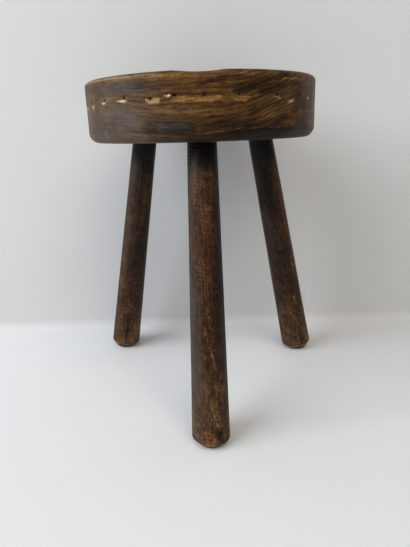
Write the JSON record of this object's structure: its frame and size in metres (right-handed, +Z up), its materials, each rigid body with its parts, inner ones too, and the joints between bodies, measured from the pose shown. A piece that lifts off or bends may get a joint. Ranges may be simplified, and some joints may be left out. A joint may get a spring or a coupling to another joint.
{
  "type": "stool",
  "caption": "Low rustic wooden stool: a thick round slab seat with softened edges on splayed round legs, wedge-tenoned through the seat. For sitting on at floor or bench work.",
  "frame": {"origin": "on the floor, at the middle of the stool's outline seen from above", "axes": "+Z up; -Y towards the front, which is the side of the single front leg; +X to the right seen from the front, along the grain of the seat"},
  "size_m": [0.3534, 0.3503, 0.429],
  "materials": {
    "seat_wood": "old oiled and waxed hardwood, dark brown with golden brown streaks, worn satin",
    "leg_wood": "old oiled and waxed hardwood, dark brown, paler and duller towards the feet, worn satin",
    "wedge_wood": "old oiled hardwood, a little paler than the legs, worn satin"
  },
  "bodies": {
    "root": {"seat": "seat_wood", "front_leg": "leg_wood", "rear_right_leg": "leg_wood", "rear_left_leg": "leg_wood", "front_wedge": "wedge_wood", "rear_right_wedge": "wedge_wood", "rear_left_wedge": "wedge_wood"}
  },
  "joints": []
}
